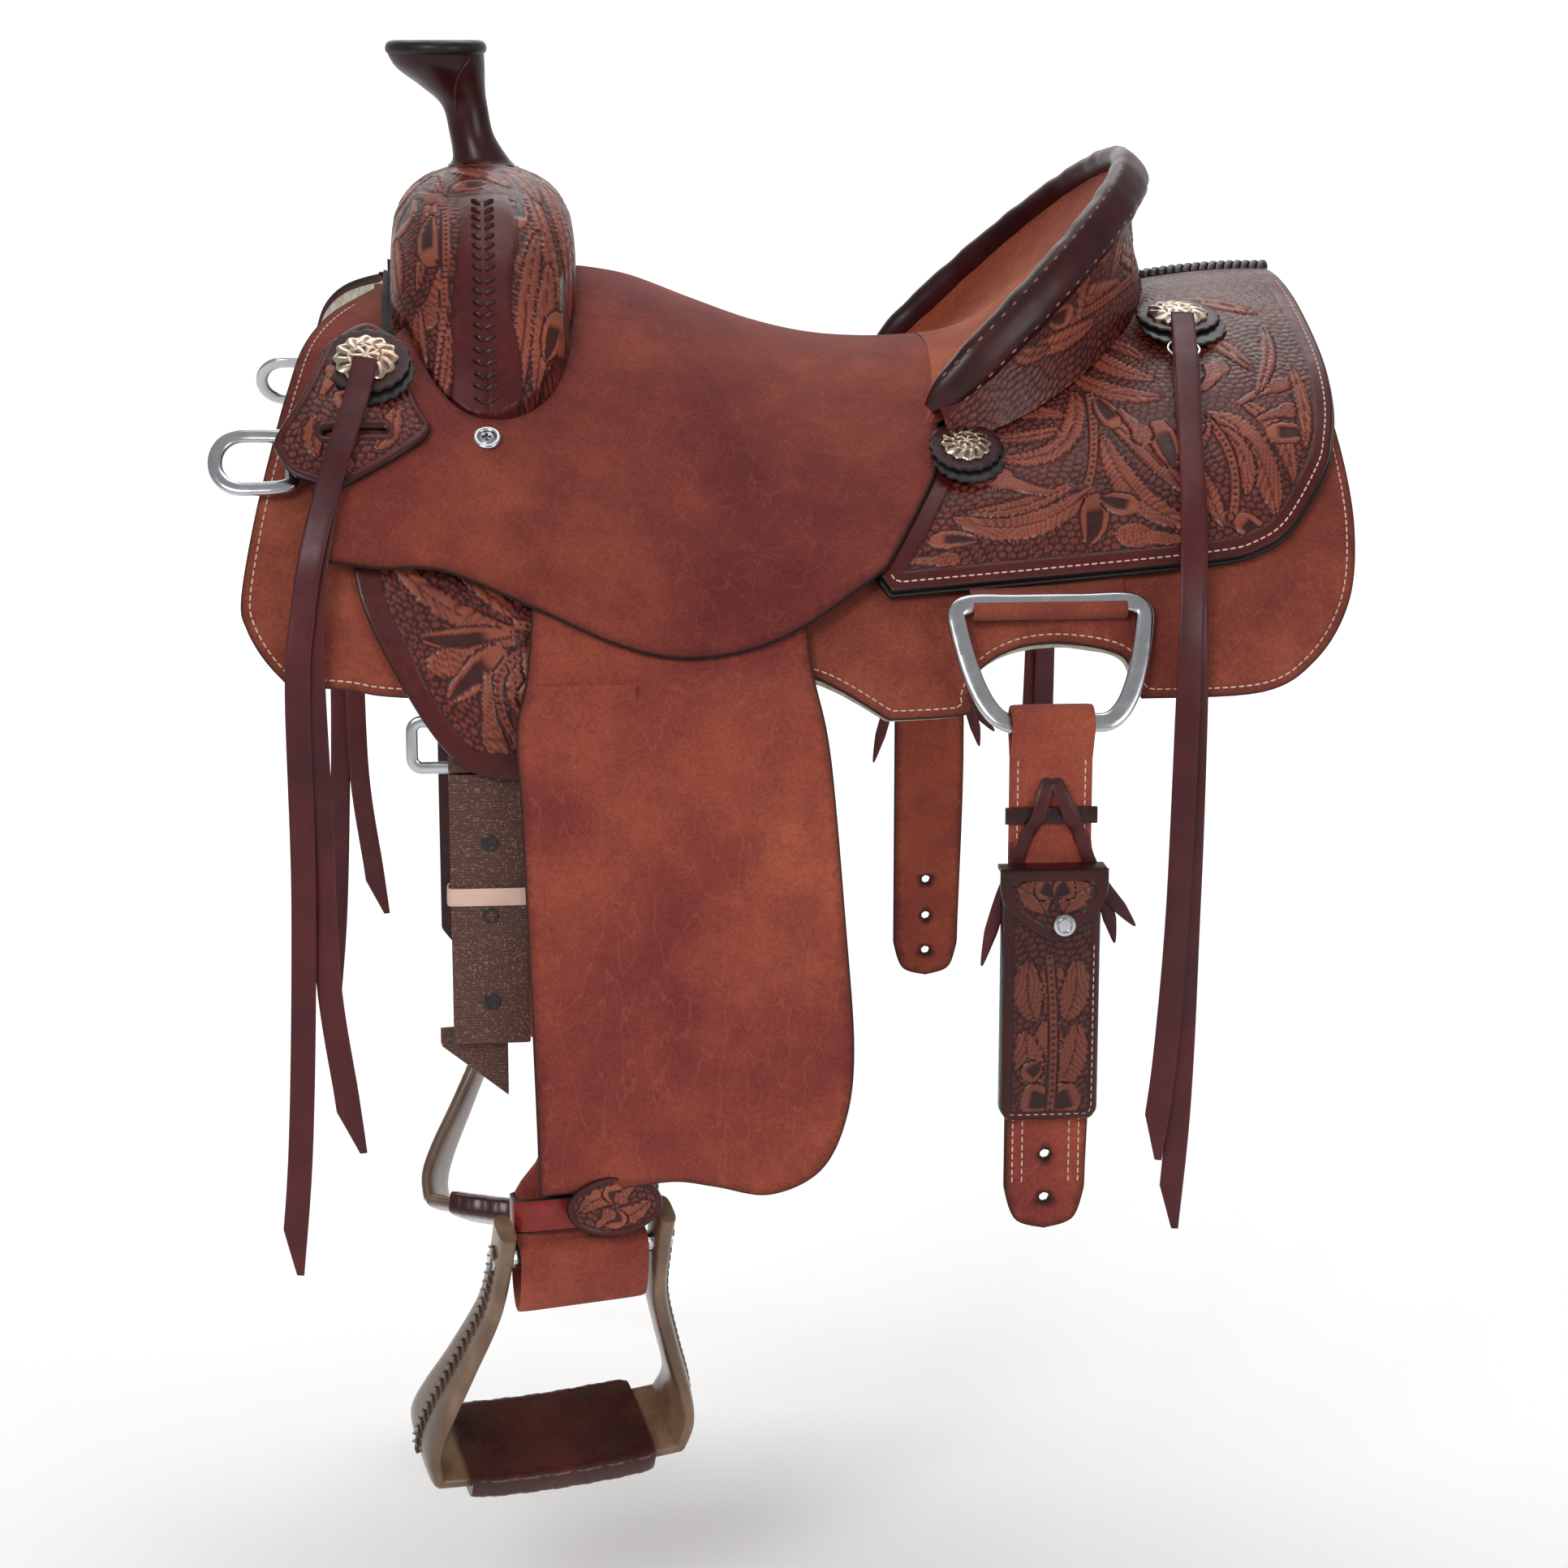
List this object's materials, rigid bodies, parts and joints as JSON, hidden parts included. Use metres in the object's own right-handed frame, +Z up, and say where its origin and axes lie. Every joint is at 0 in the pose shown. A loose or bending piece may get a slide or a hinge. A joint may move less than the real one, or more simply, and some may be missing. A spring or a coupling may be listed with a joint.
{
  "type": "western saddle",
  "caption": "Western roping-style saddle on a wooden tree, with fenders, stirrups, tooled jockeys, rigging dees, latigo, flank billets and saddle strings.",
  "frame": {"origin": "middle of the saddle, where the fleece rests on the top of the horse's back", "axes": "+X to the rear (cantle), +Y to the off side, +Z up"},
  "size_m": [0.7, 0.6394, 0.9024],
  "materials": {
    "roughout_leather": "matt suede",
    "skirting_leather": "matt suede",
    "tooled_leather": "satin, floral tooling",
    "burgundy_leather": "gloss",
    "string_leather": "satin",
    "black_leather": "satin",
    "rawhide": "satin rawhide",
    "steel": "brushed",
    "silver": "antiqued, engraved",
    "nylon": "ribbed webbing",
    "tree_wood": "sanded",
    "fleece": "wool pile"
  },
  "bodies": {
    "root": {"tree_fork": "tree_wood", "tree_cantle": "tree_wood", "ground_seat": "skirting_leather", "horn_post": "steel", "horn_cover": "burgundy_leather", "horn_cap": "black_leather", "swell_cover": "tooled_leather", "seat_leather": "roughout_leather", "cantle_back": "tooled_leather", "cantle_binding": "burgundy_leather", "tree_bar_left": "tree_wood", "tree_bar_right": "tree_wood", "skirt_left": "skirting_leather", "skirt_right": "skirting_leather", "fleece_left": "fleece", "fleece_right": "fleece", "rigging_plate_left": "tooled_leather", "rigging_plate_right": "tooled_leather", "rear_jockey_left": "tooled_leather", "rear_jockey_right": "tooled_leather", "latigo_keeper_left": "tooled_leather", "latigo_keeper_right": "tooled_leather", "front_concho_left": "silver", "front_concho_right": "silver", "rear_concho_left": "silver", "rear_concho_right": "silver", "seat_concho_left": "silver", "seat_concho_right": "silver", "front_dee_left": "steel", "front_dee_right": "steel"},
    "fender_left": {"fender_left": "roughout_leather", "stirrup_leather_left": "roughout_leather", "hobble_strap_left": "burgundy_leather"},
    "stirrup_left": {"stirrup_left": "rawhide", "stirrup_tread_left": "burgundy_leather", "stirrup_bolt_left": "steel"},
    "breast_dee_left": {"breast_dee_left": "steel"},
    "rear_dee_left": {"rear_dee_left": "steel"},
    "billet_left": {"flank_billet_left": "skirting_leather", "pouch": "tooled_leather"},
    "front_strings_left": {"front_string_long_left": "string_leather", "front_string_short_left": "string_leather"},
    "rear_strings_left": {"rear_string_long_left": "string_leather", "rear_string_short_left": "string_leather"},
    "fender_right": {"fender_right": "roughout_leather", "stirrup_leather_right": "roughout_leather", "hobble_strap_right": "burgundy_leather"},
    "stirrup_right": {"stirrup_right": "rawhide", "stirrup_tread_right": "burgundy_leather", "stirrup_bolt_right": "steel"},
    "breast_dee_right": {"breast_dee_right": "steel"},
    "rear_dee_right": {"rear_dee_right": "steel"},
    "billet_right": {"flank_billet_right": "skirting_leather"},
    "front_strings_right": {"front_string_long_right": "string_leather", "front_string_short_right": "string_leather"},
    "rear_strings_right": {"rear_string_long_right": "string_leather", "rear_string_short_right": "string_leather"},
    "pouch_flap": {"pouch_flap": "burgundy_leather"},
    "latigo_left": {"latigo_left": "nylon"},
    "off_billet_right": {"off_billet_right": "burgundy_leather"}
  },
  "joints": [
    {"name": "fender_swing_left", "type": "hinge", "parent": "root", "child": "fender_left", "pos_m": [-0.122, -0.262, -0.085], "axis": [0, 1, 0], "range_deg": [-15, 10]},
    {"name": "stirrup_pivot_left", "type": "hinge", "parent": "fender_left", "child": "stirrup_left", "pos_m": [-0.138, -0.284, -0.478], "axis": [0.9613, 0.2756, 0], "range_deg": [-55, 15]},
    {"name": "breast_dee_swing_left", "type": "hinge", "parent": "root", "child": "breast_dee_left", "pos_m": [-0.3015, -0.2336, 0.0065], "axis": [0, 0.6011, 0.7992], "range_deg": [0, 30]},
    {"name": "rear_dee_lift_left", "type": "hinge", "parent": "root", "child": "rear_dee_left", "pos_m": [0.153, -0.253, -0.084], "axis": [-1, 0, 0], "range_deg": [0, 45]},
    {"name": "billet_swing_left", "type": "hinge", "parent": "rear_dee_left", "child": "billet_left", "pos_m": [0.149, -0.29, -0.151], "axis": [-1, 0, 0], "range_deg": [-45, 40]},
    {"name": "front_strings_lift_left", "type": "hinge", "parent": "root", "child": "front_strings_left", "pos_m": [-0.262, -0.219, 0.046], "axis": [-1, 0, 0], "range_deg": [0, 35]},
    {"name": "rear_strings_lift_left", "type": "hinge", "parent": "root", "child": "rear_strings_left", "pos_m": [0.257, -0.127, 0.066], "axis": [-1, 0, 0], "range_deg": [0, 30]},
    {"name": "fender_swing_right", "type": "hinge", "parent": "root", "child": "fender_right", "pos_m": [-0.122, 0.262, -0.085], "axis": [0, 1, 0], "range_deg": [-15, 10]},
    {"name": "stirrup_pivot_right", "type": "hinge", "parent": "fender_right", "child": "stirrup_right", "pos_m": [-0.138, 0.284, -0.478], "axis": [-0.9613, 0.2756, 0], "range_deg": [-55, 15]},
    {"name": "breast_dee_swing_right", "type": "hinge", "parent": "root", "child": "breast_dee_right", "pos_m": [-0.3015, 0.2336, 0.0065], "axis": [0, 0.6011, -0.7992], "range_deg": [0, 30]},
    {"name": "rear_dee_lift_right", "type": "hinge", "parent": "root", "child": "rear_dee_right", "pos_m": [0.153, 0.253, -0.084], "axis": [1, 0, 0], "range_deg": [0, 45]},
    {"name": "billet_swing_right", "type": "hinge", "parent": "rear_dee_right", "child": "billet_right", "pos_m": [0.149, 0.29, -0.151], "axis": [1, 0, 0], "range_deg": [-45, 40]},
    {"name": "front_strings_lift_right", "type": "hinge", "parent": "root", "child": "front_strings_right", "pos_m": [-0.262, 0.219, 0.046], "axis": [1, 0, 0], "range_deg": [0, 35]},
    {"name": "rear_strings_lift_right", "type": "hinge", "parent": "root", "child": "rear_strings_right", "pos_m": [0.257, 0.127, 0.066], "axis": [1, 0, 0], "range_deg": [0, 30]},
    {"name": "pouch_flap_open", "type": "hinge", "parent": "billet_left", "child": "pouch_flap", "pos_m": [0.149, -0.29415, -0.236], "axis": [-1, 0, 0], "range_deg": [0, 90]},
    {"name": "latigo_swing_left", "type": "hinge", "parent": "root", "child": "latigo_left", "pos_m": [-0.1895, -0.2665, -0.17625], "axis": [1, 0, 0], "range_deg": [-2, 60]},
    {"name": "off_billet_swing_right", "type": "hinge", "parent": "root", "child": "off_billet_right", "pos_m": [-0.205, 0.2665, -0.17625], "axis": [-1, 0, 0], "range_deg": [-2, 60]}
  ]
}
